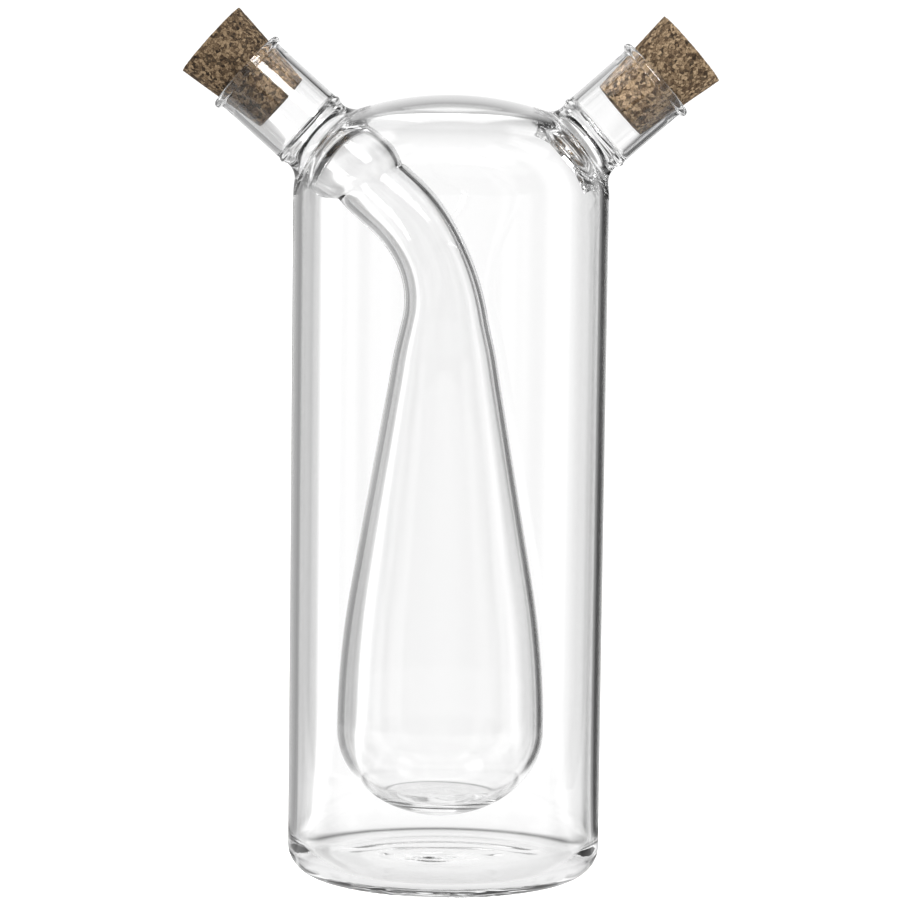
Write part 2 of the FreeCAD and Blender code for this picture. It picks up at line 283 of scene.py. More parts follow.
# %% The ring of cards, its lid and the disc on the floor
cards = card_light("cards_and_windows")
ring_radius, ring_facets = 0.25, 180
bm = bmesh.new()
bmesh.ops.create_cone(
    bm, cap_ends=False, segments=ring_facets, radius1=ring_radius, radius2=ring_radius,
    depth=height_of_cards - card_floor, matrix=Matrix.Translation((0, 0, (height_of_cards + card_floor) / 2)),
)
ring_of_cards = new_object("ring_of_cards", bm, cards)
hide_from_all_but_glass(ring_of_cards)
for name, height in (("disc_of_cards", card_floor), ("lid_of_cards", height_of_cards)):
    bm = bmesh.new()
    bmesh.ops.create_circle(
        bm, cap_ends=True, segments=ring_facets, radius=ring_radius, matrix=Matrix.Translation((0, 0, height))
    )
    hide_from_all_but_glass(new_object(name, bm, cards))
print("cards", [round(value, 2) for value in ring_of_cards.dimensions])

# %% [markdown]
# A long softbox stands high to the right of the camera, close to the cruet. Its reflection is the
# white bar on the left neck. It is so much brighter than the cards that the faint reflection of the
# glass is enough. A black flag keeps it off the lower part of the bottle. A broad lamp above lights
# the corks.

# %% Softbox, flag and lamp


def softbox(name, middle, target, width, length, along, strength):
    """A bright panel that faces a target, with its long side along a direction."""
    facing = (Vector(target) - Vector(middle)).normalized()
    side = facing.cross(Vector(along)).normalized()
    up = side.cross(facing)
    turn = Matrix((side, up, facing)).transposed().to_4x4()
    bm = bmesh.new()
    bmesh.ops.create_grid(bm, x_segments=1, y_segments=1, size=0.5)
    bmesh.ops.scale(bm, vec=(width, length, 1), verts=bm.verts)
    bmesh.ops.transform(bm, matrix=Matrix.Translation(middle) @ turn, verts=bm.verts)
    material = bpy.data.materials.new(name + "_cloth")
    material.use_nodes = True
    tree = material.node_tree
    tree.nodes.clear()
    glow = add_node(tree, "ShaderNodeEmission", Color=(1, 1, 1, 1), Strength=strength)
    add_node(tree, "ShaderNodeOutputMaterial", Surface=glow.outputs[0])
    panel = new_object(name, bm, material)
    hide_from_all_but_glass(panel)
    return panel


def soft_lamp(name, position, size, power, target):
    lamp = bpy.data.lights.new(name, "AREA")
    lamp.shape = "RECTANGLE"
    lamp.size, lamp.size_y = size
    lamp.energy = power
    lamp_object = bpy.data.objects.new(name, lamp)
    lamp_object.location = position
    towards = Vector(target) - Vector(position)
    lamp_object.rotation_euler = towards.to_track_quat("-Z", "Y").to_euler()
    scene.collection.objects.link(lamp_object)


left_neck_middle, left_neck_way = (-0.03, 0, 0.185), (-0.749, 0, 0.663)
softbox_middle, softbox_size, softbox_light = (0.075, -0.193, 0.304), (0.1, 0.2), 22.0
long_softbox = softbox(
    "long_softbox", softbox_middle, left_neck_middle, *softbox_size, left_neck_way, softbox_light
)
lamp_place, lamp_size, lamp_power, lamp_target = (0.1, -0.45, 1.6), (0.8, 0.8), 21, (0, 0, 0.1)
soft_lamp("high_lamp", lamp_place, lamp_size, lamp_power, lamp_target)

black_cloth, tree, shader = new_material("black_cloth")
weave = add_node(tree, "ShaderNodeTexNoise", Scale=900.0).outputs[0]
tree.links.new(ramp_node(tree, weave, [(0.3, 0.004), (0.7, 0.012)]), shader.inputs["Base Color"])
shader.inputs["Specular IOR Level"].default_value = 0.0
flag_place, flag_size = (0.045, -0.125, 0.168), (0.21, 0.17)
bm = bmesh.new()
bmesh.ops.create_grid(
    bm, x_segments=1, y_segments=1, size=0.5,
    matrix=Matrix.Translation(flag_place) @ Matrix.Diagonal((*flag_size, 1, 1)),
)
hide_from_all_but_glass(new_object("black_flag", bm, black_cloth))
print("softbox", [round(value, 3) for value in long_softbox.dimensions])

# %% [markdown]
# Now the glass. All of it is one piece: a glassworker draws a bottle from a tube, seals a second
# flask inside it, and joins both to necks in the flame. The sizes are the measured model's own, but
# for three small things that only show in clear glass: the inner corner and the rings of the
# bottle's floor, and the gather with its swirl in the flask's floor.

# %% Sizes of the glass, in millimetres
body_radius, body_height, wall, base = 35.0, 174.2, 2.0, 3.2
foot_corner, foot_ring, punt = 6.6, 3.6, 0.8
corner_width, corner_rise = 3.6, 7.2
ring_pitch, ring_height, ring_count, pip = 7.2, 0.24, 3, 0.7
shoulder_radius, crown_radius = 20.0, 66.0
tilt = math.radians(48.5)
neck_radius, neck_wall, lip_roll, lip_thickness, lip_sweep = 9.15, 1.25, 1.05, 1.8, 1.6
mouth_depth, mouth_edge, cork_slope = 4.9, 0.3, math.tan(math.radians(6.4))
collar_radius, root_ball, bead_height, bead_rise, bead_width = 8.9, 4.0, 1.8, 0.35, 1.7
bore_radius = neck_radius - neck_wall
weld_bore, step_start, step_end = bore_radius - 1.0, 1.6, 3.6
mouth_radius = bore_radius + mouth_depth * cork_slope
flask_wall, bell_radius, bell_length, seal_ball = 1.5, 10.05, 15.6, 1.2
pinch_radius, pinch_offset, pinch_tilt, tube_lead, tube_radius = 8.1, 0.5, math.radians(18.3), 6.6, 7.85
waist_radius, waist_drop, waist_length = 11.25, 6.5, 26.0
flask_x, flask_radius, flask_gap, flask_base, side_rise = -1.0, 23.15, 10.2, 19.2, 33.0
floor_gather, swirl, swirl_radius, swirl_turn = 2.75, 0.35, 12.0, 0.45
# the rings lie a little off the middle: this far across and to the front, fading out at this radius
rings_shift, rings_reach, rings_rise = (-3.0, -4.0, 0), 24, 2
neck_length = {-1: 21.4, 1: 20.5}
rim_below_shoulder = 1.85

shoulder_x = body_radius - shoulder_radius
crown_z = body_height - crown_radius
shoulder_z = crown_z + math.sqrt((crown_radius - shoulder_radius) ** 2 - shoulder_x**2)
touch = math.atan2(shoulder_z - crown_z, shoulder_x)
inner_shoulder = shoulder_radius - wall
rim_depth = shoulder_radius - math.sqrt(inner_shoulder**2 - collar_radius**2) + rim_below_shoulder
print("shoulder at", round(shoulder_z, 2), "crown begins at", round(math.degrees(touch), 1), "degrees")

# %% [markdown]
# A turned form starts as a profile, a row of points from the axis out and back. The bottle's
# profile has many rows on its shoulder, since the necks are cut in there, and long rows down the
# straight wall, where nothing bends. A row close beside each rounding keeps the wall's shading
# straight.

# %% Profiles of the bottle


def mix(first, second, share):
    return first + (second - first) * share


def arc_points(centre, radius, first, last, steps):
    """Points of an arc, without its first one. Angles are in radians."""
    angles = [mix(first, last, step / steps) for step in range(1, steps + 1)]
    return [(centre[0] + radius * math.cos(a), centre[1] + radius * math.sin(a)) for a in angles]


def bezier_points(poles, steps):
    """Points of a cubic curve, without its first one."""
    points = []
    for step in range(1, steps + 1):
        t = step / steps
        weights = ((1 - t) ** 3, 3 * t * (1 - t) ** 2, 3 * t * t * (1 - t), t**3)
        points.append(tuple(sum(w * pole[k] for w, pole in zip(weights, poles)) for k in (0, 1)))
    return points


def smooth_through(stations):
    """A curve through (place, value) stations that bends as little as it can."""
    xs, ys = zip(*stations)
    bend, work = [0.0] * len(xs), [0.0] * len(xs)
    for i in range(1, len(xs) - 1):
        share = (xs[i] - xs[i - 1]) / (xs[i + 1] - xs[i - 1])
        pivot = share * bend[i - 1] + 2
        turn = (ys[i + 1] - ys[i]) / (xs[i + 1] - xs[i]) - (ys[i] - ys[i - 1]) / (xs[i] - xs[i - 1])
        bend[i] = (share - 1) / pivot
        work[i] = (6 * turn / (xs[i + 1] - xs[i - 1]) - share * work[i - 1]) / pivot
    bend[-1] = 0.0
    for i in range(len(xs) - 2, -1, -1):
        bend[i] = bend[i] * bend[i + 1] + work[i]

    def value(x):
        i = next((k for k in range(1, len(xs)) if x <= xs[k]), len(xs) - 1)
        span = xs[i] - xs[i - 1]
        a, b = (xs[i] - x) / span, (x - xs[i - 1]) / span
        lift = ((a**3 - a) * bend[i - 1] + (b**3 - b) * bend[i]) * span**2 / 6
        return a * ys[i - 1] + b * ys[i] + lift

    return value


hole_row, edge_row = 149.0, 0.6
quarter = math.pi / 2


def wall_and_top(inset, wall_foot):
    """The bottle's wall, shoulder and crown at a depth below its skin, up to the axis."""
    radius = body_radius - inset
    rows = [(radius, wall_foot + edge_row)]
    rows += [(radius, mix(wall_foot + edge_row, hole_row, step / 16)) for step in range(1, 17)]
    rows.append((radius, shoulder_z))
    rows += arc_points((shoulder_x, shoulder_z), shoulder_radius - inset, 0, touch, 20)
    rows += arc_points((0, crown_z), crown_radius - inset, touch, quarter, 16)
    return rows


def outside_profile():
    """The punt, the foot's flat ring, its rounding and the wall."""
    foot_outer = body_radius - foot_corner
    foot_inner = foot_outer - foot_ring
    punt_radius = (foot_inner**2 + punt**2) / (2 * punt)
    rows = [(0, punt)]
    rows += arc_points((0, punt - punt_radius), punt_radius, quarter, math.acos(foot_inner / punt_radius), 14)
    rows += [(mix(foot_inner, foot_outer, share), 0) for share in (0.15, 0.85, 1)]
    rows += arc_points((foot_outer, foot_corner), foot_corner, -quarter, 0, 14)
    return rows + wall_and_top(0, foot_corner)


def inside_profile():
    """The hollow, with the pip in the middle of the floor and the rings round it."""
    stations = [(0, pip)]
    turns = 2 * ring_count
    for turn in range(1, turns + 1):
        rise = ring_height * (1 - turn / turns) * (-1 if turn % 2 else 1)
        stations.append((turn * ring_pitch / 2, rise))
    stations.append((turns * ring_pitch / 2 + 1.5, 0))
    stations.append((turns * ring_pitch / 2 + 3, 0))
    floor_rise = smooth_through([(-ring_pitch / 2, stations[1][1])] + stations)
    corner_x = body_radius - wall - corner_width
    row_step, floor_rows = 0.6, 39
    rows = [(0, base + pip)]
    rows += [(row_step * step, base + floor_rise(row_step * step)) for step in range(1, floor_rows + 1)]
    rows += [(mix(row_step * floor_rows, corner_x, share), base) for share in (0.5, 0.85, 1)]
    corner = arc_points((0, 0), 1, -quarter, 0, 16)
    rows += [(corner_x + corner_width * x, base + corner_rise * (1 + z)) for x, z in corner]
    return rows + wall_and_top(wall, base + corner_rise)


print("rows outside", len(outside_profile()), "and inside", len(inside_profile()))

# %% [markdown]
# Each neck has a frame of its own, with height 0 on the skin of the shoulder and its axis through
# the middle of the shoulder's rounding. To draw glass from the shoulder into a neck, a height is
# needed at which a point lies on the skin, or at a depth below it. The skin is a cylinder, a part
# of a ring and a part of a ball, so its distance from any point is known, and halving an interval
# a few times finds the height.

# %% Frames of the necks and the bottle's skin
neck_frame = {
    side: Matrix.Translation((side * shoulder_x, 0, shoulder_z))
    @ Matrix.Rotation(side * tilt, 4, "Y")
    @ Matrix.Translation((0, 0, shoulder_radius))
    for side in (-1, 1)
}


def above_skin(point):
    """How far a point is outside the bottle's skin, and the way straight out from there."""
    rho = math.hypot(point.x, point.y)
    out = Vector((point.x / rho, point.y / rho, 0))
    across, rise = rho - shoulder_x, point.z - shoulder_z
    if rise < 0:
        return rho - body_radius, out
    if math.atan2(rise, across) <= touch:
        far = math.hypot(across, rise)
        return far - shoulder_radius, (out * across + Vector((0, 0, rise))) / far
    far = math.hypot(rho, point.z - crown_z)
    return far - crown_radius, (out * rho + Vector((0, 0, point.z - crown_z))) / far


def halve(low, high, below):
    """The place between low and high at which below(place) stops being true."""
    for _ in range(40):
        middle = (low + high) / 2
        if below(middle):
            low = middle
        else:
            high = middle
    return (low + high) / 2


def neck_point(side, radius, angle, height):
    return neck_frame[side] @ Vector((radius * math.cos(angle), radius * math.sin(angle), height))


def skin_point(side, radius, angle, depth):
    """The point of the skin, or at a depth below it, at a distance and angle from a neck's axis."""
    height = halve(-18, 4, lambda h: above_skin(neck_point(side, radius, angle, h))[0] < -depth)
    return neck_point(side, radius, angle, height)


print("skin over the right neck's axis", [round(v, 2) for v in skin_point(1, 0.001, 0, 0)])

# %% [markdown]
# The bottle's two skins are spun from their profiles. Where a neck goes, a block of faces is taken
# out, which leaves a rim with as many corners outside as inside.

# %% Spin a skin and open it for the necks
around = 192
hole_half_width = 16


def spun_skin(bm, profile):
    """Turns a profile once round the bottle's axis. Its ends lie on the axis and become poles."""
    verts = [bm.verts.new((radius, 0, height)) for radius, height in profile]
    edges = [bm.edges.new(pair) for pair in zip(verts, verts[1:])]
    bmesh.ops.spin(
        bm, geom=verts + edges, cent=(0, 0, 0), axis=(0, 0, 1), angle=2 * math.pi, steps=around, use_merge=True
    )
    poles = [v for v in bm.verts if math.hypot(v.co.x, v.co.y) < 1e-4]
    bmesh.ops.remove_doubles(bm, verts=poles, dist=1e-4)


def open_for_neck(bm, side, inset):
    """Takes out the faces where a neck goes and gives back the rim's corners in order."""
    arc_end = (crown_radius - inset) * math.cos(mix(touch, quarter, 3 / 16))
    half_angle = 2 * math.pi * hole_half_width / around
    block = []
    for face in bm.faces:
        middle = face.calc_center_median()
        turn = abs(math.atan2(middle.y, side * middle.x))
        if middle.z > hole_row and math.hypot(middle.x, middle.y) > arc_end and turn < half_angle:
            block.append(face)
    bmesh.ops.delete(bm, geom=block, context="FACES")
    rim = {v for edge in bm.edges if edge.is_boundary for v in edge.verts if side * v.co.x > 0}
    return sorted(rim, key=lambda v: angle_on_neck(side, v.co))


def angle_on_neck(side, point):
    local = neck_frame[side].inverted() @ point
    return (math.atan2(local.y, local.x) + 2 * math.pi + 1e-5) % (2 * math.pi)


outside = bmesh.new()
spun_skin(outside, outside_profile())
outer_rims = {side: open_for_neck(outside, side, 0) for side in (-1, 1)}
inside = bmesh.new()
spun_skin(inside, inside_profile())
for v in inside.verts:
    share = max(0, 1 - math.hypot(v.co.x, v.co.y) / rings_reach)
    if v.co.z < base + rings_rise:
        v.co += Vector(rings_shift) * share**2
inner_rims = {side: open_for_neck(inside, side, wall) for side in (-1, 1)}
corners = len(outer_rims[1])
angles = [2 * math.pi * index / corners for index in range(corners)]
print("corners round each neck", [len(rim) for rim in (*outer_rims.values(), *inner_rims.values())])

# %% [markdown]
# From such a rim the glass is drawn out ring by ring, as the glassworker draws it: the open rim is
# extruded and its new corners are carried to their places. The first rings turn the square rim into
# a round one without leaving the skin.

# %% Draw glass from a rim


def draw_out(bm, rim, places):
    """Extrudes an open rim, carries the new corners to their places and gives back the new rim."""
    edges = [bm.edges.get(pair) for pair in zip(rim, rim[1:] + rim[:1])]
    made = bmesh.ops.extrude_edge_only(bm, edges=edges)["geom"]
    fresh = {item for item in made if isinstance(item, bmesh.types.BMVert)}
    drawn = []
    for corner, place in zip(rim, places):
        new = next(edge.other_vert(corner) for edge in corner.link_edges if edge.other_vert(corner) in fresh)
        new.co = place
        drawn.append(new)
    return drawn


def draw_rings(bm, rim, rings):
    for ring in rings:
        rim = draw_out(bm, rim, ring)
    return rim


def rounding_to(bm, rim, side, depth, goal, steps=5):
    """Draws a square rim along the skin to a round goal. The goal is a list of points."""
    start = []
    for corner in rim:
        local = neck_frame[side].inverted() @ corner.co
        start.append((math.hypot(local.x, local.y), math.atan2(local.y, local.x)))
    end = []
    for point in goal:
        local = neck_frame[side].inverted() @ point
        end.append((math.hypot(local.x, local.y), math.atan2(local.y, local.x)))
    for step in range(1, steps + 1):
        share = step / steps
        even = share * share * (3 - 2 * share)
        ring = []
        for (radius, angle), (goal_radius, goal_angle) in zip(start, end):
            turn = (goal_angle - angle + math.pi) % (2 * math.pi) - math.pi
            ring.append(skin_point(side, mix(radius, goal_radius, share), angle + turn * even, depth))
        rim = draw_out(bm, rim, goal if step == steps else ring)
    return rim


def neck_rings(side, profile):
    return [[neck_point(side, radius, angle, height) for angle in angles] for radius, height in profile]


print("rings have", corners, "corners")

# %% [markdown]
# Where a neck meets the bottle, the flame leaves a soft hollow. It is the path of a ball that rolls
# round the neck and touches both the skin and the neck, four millimetres in radius outside and two
# inside. For every angle the ball's centre is found first, and the ring's points lie on the ball
# between its two touching points.

# %% Roundings at the roots of the necks


def ball_rounding(side, ball, depth, steps, top=None):
    """Rings of the rounding between the skin and a neck's collar, the skin's ring first."""
    sign = -1 if depth else 1
    rings = [[] for _ in range(steps + 1)]
    for angle in angles:
        reach = collar_radius + ball
        goal = sign * ball - depth
        height = halve(-16, 8, lambda h: above_skin(neck_point(side, reach, angle, h))[0] < goal)
        centre = neck_point(side, reach, angle, height)
        to_skin = above_skin(centre)[1] * -sign
        to_neck = (neck_point(side, 0, angle, height) - centre).normalized()
        last = 1.0
        if top is not None and height > top:
            local_up = neck_frame[side].to_3x3() @ Vector((0, 0, 1))
            last = halve(0, 1, lambda t: height + ball * to_skin.slerp(to_neck, t).dot(local_up) < top)
        for step, ring in enumerate(rings):
            ring.append(centre + to_skin.slerp(to_neck, last * step / steps) * ball)
    return rings


root_rings = {side: ball_rounding(side, root_ball, 0, 8, bead_height - bead_width / 2) for side in (-1, 1)}
inner_ball = 2.0
rim_rings = ball_rounding(1, inner_ball, wall, 8)
print("rounding rings", len(root_rings[1]) * 2 + len(rim_rings))

# %% [markdown]
# Outside, each neck rises from its rounding through the bead of the weld to the rolled lip. The
# same drawing goes on over the lip and down the bore, past the cork's seat and the narrow weld.

# %% Necks, lips and bores
bead_foot, bead_top = bead_height - bead_width / 2, bead_height + bead_width / 2
bead = smooth_through([
    (bead_foot, collar_radius + 0.02), (bead_height, neck_radius + bead_rise), (bead_top, neck_radius),
])


def neck_profile(length):
    """From the top of the root's rounding to the edge of the mouth."""
    core = neck_radius + lip_roll - lip_thickness / 2
    sweep_foot = length - lip_thickness - lip_sweep
    rows = [(bead(mix(bead_foot, bead_top, step / 8)), mix(bead_foot, bead_top, step / 8)) for step in range(1, 8)]
    rows += [(neck_radius, bead_top), (neck_radius, bead_top + 0.4)]
    rows += [(neck_radius, mix(bead_top + 0.4, sweep_foot - 0.4, step / 5)) for step in range(1, 6)]
    rows += [
        (mix(neck_radius, core, (step / 4) ** 2), mix(sweep_foot, length - lip_thickness, step / 4))
        for step in range(5)
    ]
    rows += arc_points((core, length - lip_thickness / 2), lip_thickness / 2, -quarter, quarter, 14)
    rows += [(mix(core, mouth_radius + mouth_edge, 0.5), length)]
    return rows


def bore_profile(length):
    """From the edge of the mouth down to the skin of the shoulder."""
    low_edge = (mouth_radius - mouth_edge * cork_slope, length - mouth_edge)
    high_edge = (mouth_radius + mouth_edge, length)
    mouth_foot = length - mouth_depth
    rows = [(mix(low_edge[0], high_edge[0], s), mix(low_edge[1], high_edge[1], s)) for s in (0.92, 0.5, 0.08)]
    rows += [(mix(low_edge[0], bore_radius, s), mix(low_edge[1], mouth_foot, s)) for s in (0.1, 0.5, 0.95, 1)]
    rows += [(bore_radius, mix(mouth_foot, step_end, s)) for s in (0.05, 0.2, 0.4, 0.6, 0.8, 0.95, 1)]
    middle = (step_start + step_end) / 2
    rows += bezier_points(
        [(bore_radius, step_end), (bore_radius, middle), (weld_bore, middle), (weld_bore, step_start)], 9
    )
    return rows + [(weld_bore, step_start * s) for s in (0.75, 0.25)]


mouths = {}
for side, rim in outer_rims.items():
    rim = rounding_to(outside, rim, side, 0, root_rings[side][0])
    rim = draw_rings(outside, rim, root_rings[side][1:])
    rim = draw_rings(outside, rim, neck_rings(side, neck_profile(neck_length[side])))
    mouths[side] = draw_rings(outside, rim, neck_rings(side, bore_profile(neck_length[side])))
print("outside and bores", len(outside.faces), "faces")

# %% [markdown]
# The oil neck's weld stands a little way into the bottle with a rounded end. The glass turns round
# that end, comes back up outside it, and meets the inside of the shoulder in its rounding.

# %% End of the oil neck inside the bottle
half_rim = (collar_radius - weld_bore) / 2
rim_shoulder = -rim_depth + half_rim
rim_profile = [(weld_bore, 0), (weld_bore, rim_shoulder * 0.5), (weld_bore, rim_shoulder)]
rim_profile += [
    (weld_bore + half_rim - half_rim * math.cos(a), rim_shoulder - half_rim * math.sin(a))
    for a in (math.pi * step / 12 for step in range(1, 13))
]
rim = draw_rings(outside, mouths[1], neck_rings(1, rim_profile))
draw_rings(outside, rim, reversed(rim_rings))
rounding_to(inside, inner_rims[1], 1, wall, rim_rings[0])
print("oil neck ends", round(rim_depth, 2), "mm deep")

# %% [markdown]
# The inner flask is a bell below the vinegar neck's weld, a pinch, a bent tube and a pear-shaped
# bulb. Its rings lean with the glass: they are square to the neck at the bell's top, tip over at the
# pinch, and come level where the tube has bent down. Each ring needs a middle, a lean and a radius.

# %% Path of the flask


def bell_place(share):
    """Middle and lean of the bell's ring, part of the way down it."""
    depth = shoulder_radius - bell_length * share
    drift = pinch_offset * share**2
    x = -shoulder_x - depth * math.sin(tilt) + drift * math.cos(tilt)
    z = shoulder_z + depth * math.cos(tilt) + drift * math.sin(tilt)
    return Vector((x, 0, z)), tilt - pinch_tilt * share**2


pinch_place = bell_place(1)[0]
reach = (flask_x - pinch_place.x) / math.sin(tilt)
bend_radius = (reach - tube_lead) / math.tan(tilt / 2)
bend_z = pinch_place.z - reach * math.cos(tilt) - (reach - tube_lead)
bend_centre = Vector((flask_x - bend_radius, 0, bend_z))
waist_z = bend_z - waist_drop
bend_length = bend_radius * tilt
whole = waist_drop + bend_length + tube_lead
flask_floor = base + flask_gap
widest_z = flask_floor + flask_base


def tube_place(along):
    """Middle and lean of the tube's ring at a distance from the waist."""
    if along < waist_drop:
        return Vector((flask_x, 0, waist_z + along)), 0.0
    angle = (along - waist_drop) / bend_radius
    if angle < tilt:
        return bend_centre + Vector((math.cos(angle), 0, math.sin(angle))) * bend_radius, angle
    share = (along - waist_drop - bend_length) / tube_lead
    bend_end = bend_centre + Vector((math.cos(tilt), 0, math.sin(tilt))) * bend_radius
    return bend_end.lerp(pinch_place, share), tilt - pinch_tilt * share**2


def leaning_ring(place, radius):
    middle, lean = place
    out = Vector((math.cos(lean), 0, math.sin(lean)))
    return [middle + (out * math.cos(a) + Vector((0, math.sin(a), 0))) * radius for a in angles]


lean = 0.0
for _ in range(30):
    lean = math.atan2(flask_radius - waist_radius - side_rise * math.tan(lean / 2), waist_z - widest_z - side_rise)
side_radius = side_rise / math.sin(lean)
print("bend", round(bend_radius, 2), "mm, waist at", round(waist_z, 2), "and side", round(side_radius, 1))

# %% [markdown]
# The bell swells below the weld and draws in to the pinch, and the tube widens to the waist. A few
# stations give the radius, and a curve that bends as little as it can runs through them.

# %% Radii of the flask


def bell_curve(throat, widest, pinch):
    top = [(0.0, 0.0), (0.2, 0.12), (0.385, 0.85), (0.6, 1.0)]
    foot = [(0.83, 0.72), (1.0, 0.0)]
    return smooth_through(
        [(s, mix(throat, widest, swell)) for s, swell in top]
        + [(s, mix(pinch, widest, swell)) for s, swell in foot]
    )


def taper_foot(inset):
    """Where the side's arc ends and the straight taper begins."""
    inner = side_radius - inset
    return flask_radius - side_radius + inner * math.cos(lean), widest_z + inner * math.sin(lean)


def taper_radius(height, inset):
    foot_radius, foot_z = taper_foot(inset)
    return mix(foot_radius, waist_radius - inset, (height - foot_z) / (waist_z - foot_z))


step_length = bend_length / 5
taper_top = waist_z - 2 * step_length
tube_stations = [(k * step_length, taper_radius(waist_z + k * step_length, 0)) for k in (-2, -1, 0)]
for k in range(6):
    along = waist_drop + step_length * k
    wide = (waist_radius - tube_radius) * max(0, 1 - along / waist_length) ** 2
    flare = (pinch_radius - tube_radius) * (along / whole) ** 4
    tube_stations.append((along, tube_radius + wide + flare))
tube_stations.append((whole, pinch_radius))
tube_curve = smooth_through(tube_stations)


def floor_of_flask(radius, height, angle):
    """The height of the flask's inside where its floor lies flat, with a slight swirl in it."""
    flat = flask_floor + flask_wall + floor_gather
    if radius < swirl_radius:
        flat += swirl * math.sin(angle + swirl_turn * radius) * math.sin(math.pi * radius / swirl_radius)
    softness = 0.5
    return (height + flat + math.hypot(height - flat, softness)) / 2


def flask_rings(first_shares, bell, inset):
    """Rings from the bell to the bulb's pole. Each corner starts at its own share of the bell."""
    rings = []
    for step in range(1, 17):
        ring = []
        for start, angle in zip(first_shares, angles):
            share = mix(start, 1, step / 16)
            middle, turn = bell_place(share)
            out = Vector((math.cos(turn) * math.cos(angle), math.sin(angle), math.sin(turn) * math.cos(angle)))
            ring.append(middle + out * bell(share))
        rings.append(ring)
    for step in range(1, 45):
        along = mix(whole, -2 * step_length, step / 44)
        rings.append(leaning_ring(tube_place(along), tube_curve(along) - inset))
    foot = taper_foot(inset)
    low = flask_floor + inset
    radius = flask_radius - inset
    taper_heights = [mix(taper_top, foot[1], share) for share in (0.25, 0.5, 0.75, 0.97, 1)]
    rows = [(taper_radius(height, inset), height) for height in taper_heights]
    rows += arc_points((flask_radius - side_radius, widest_z), side_radius - inset, lean, 0, 14)
    handle = 0.5523  # the length of a curve's handle that makes a quarter of a circle
    rows += bezier_points(
        [(radius, widest_z), (radius, mix(widest_z, low, handle)), (radius * handle, low), (0, low)], 40
    )
    for radius, height in rows:
        ring = leaning_ring((Vector((flask_x, 0, height)), 0.0), radius)
        if inset and height < widest_z:
            for point, angle in zip(ring, angles):
                point.z = floor_of_flask(radius, height, angle)
        rings.append(ring)
    return rings


outer_bell = bell_curve(collar_radius, bell_radius, pinch_radius)
inner_bell = bell_curve(weld_bore, bell_radius - flask_wall, pinch_radius - flask_wall)
print("bell", round(outer_bell(0.5), 2), "tube", round(tube_curve(30), 2), "waist", round(tube_curve(0), 2))

# %% [markdown]
# The flask is sealed to the inside of the shoulder. Round the seal the two surfaces meet at an angle
# that changes all the way round, so the touching points of a small ball are worked out for each
# angle, and a short curve joins them.

# %% Seal of the flask


def bell_point(share, angle):
    middle, turn = bell_place(share)
    out = Vector((math.cos(turn) * math.cos(angle), math.sin(angle), math.sin(turn) * math.cos(angle)))
    return middle + out * outer_bell(share)


def seal_curve(angle, steps):
    """Points from the shoulder's inside to the bell, and the bell's share where they end."""
    meet = halve(0.02, 0.6, lambda s: above_skin(bell_point(s, angle))[0] > -wall)
    corner = bell_point(meet, angle)
    local = neck_frame[-1].inverted() @ corner
    radius = math.hypot(local.x, local.y)
    along_bell = bell_point(meet + 0.01, angle) - corner
    along_skin = (skin_point(-1, radius + 0.2, angle, wall) - skin_point(-1, radius, angle, wall)).normalized()
    opening = along_bell.angle(along_skin)
    reach = seal_ball / math.tan(opening / 2)
    end_share = meet + 0.01 * reach / along_bell.length
    outward = (neck_point(-1, 1, angle, 0) - neck_point(-1, 0, angle, 0)).dot(along_skin)
    first = skin_point(-1, radius + reach * outward, angle, wall)
    last = bell_point(end_share, angle)
    points = []
    for step in range(steps + 1):
        t = step / steps
        points.append(first * (1 - t) ** 2 + corner * 2 * t * (1 - t) + last * t**2)
    return points, end_share


seals = [seal_curve(angle, 8) for angle in angles]
seal_rings = [[points[step] for points, _ in seals] for step in range(9)]
rim = rounding_to(inside, inner_rims[-1], -1, wall, seal_rings[0])
rim = draw_rings(inside, rim, seal_rings[1:])
draw_rings(inside, rim, flask_rings([share for _, share in seals], outer_bell, 0))
draw_rings(outside, draw_out(outside, mouths[-1], neck_rings(-1, [(weld_bore, 0)])[0]),
           flask_rings([0.0] * corners, inner_bell, flask_wall))
print("seal ends between", [round(f(share for _, share in seals), 3) for f in (min, max)], "of the bell")

# %% [markdown]
# Inside and outside come together in one mesh. Points in the same place are merged, which closes the
# poles and joins the oil neck's end to the bottle, and all faces are turned to point out of the
# glass. If the drawing is right, every edge has exactly two faces.

# %% One piece of glass
inside_mesh = bpy.data.meshes.new("inside_of_bottle")
inside.to_mesh(inside_mesh)
inside.free()
outside.from_mesh(inside_mesh)
bpy.data.meshes.remove(inside_mesh)
bmesh.ops.remove_doubles(outside, verts=outside.verts, dist=1e-3)
bmesh.ops.recalc_face_normals(outside, faces=outside.faces)
for face in outside.faces:
    face.smooth = True
bmesh.ops.scale(outside, vec=(MM, MM, MM), verts=outside.verts)
open_edges = sum(len(edge.link_faces) != 2 for edge in outside.edges)
volume = outside.calc_volume()
triangles = sum(len(face.verts) - 2 for face in outside.faces)
glass = new_object("glass_cruet", outside)
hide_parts("glass_vessel")
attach(glass, "vessel")
print("glass", triangles, "triangles,", open_edges, "open edges,", round(volume * 1e6, 2), "cm3")

# %% [markdown]
# Borosilicate glass is very clear and bends light a little less than window glass. Drawn tube is
# never quite even: faint waves run along it, and the welded parts are a touch uneven from the flame.
# Both are put in as very small bumps.

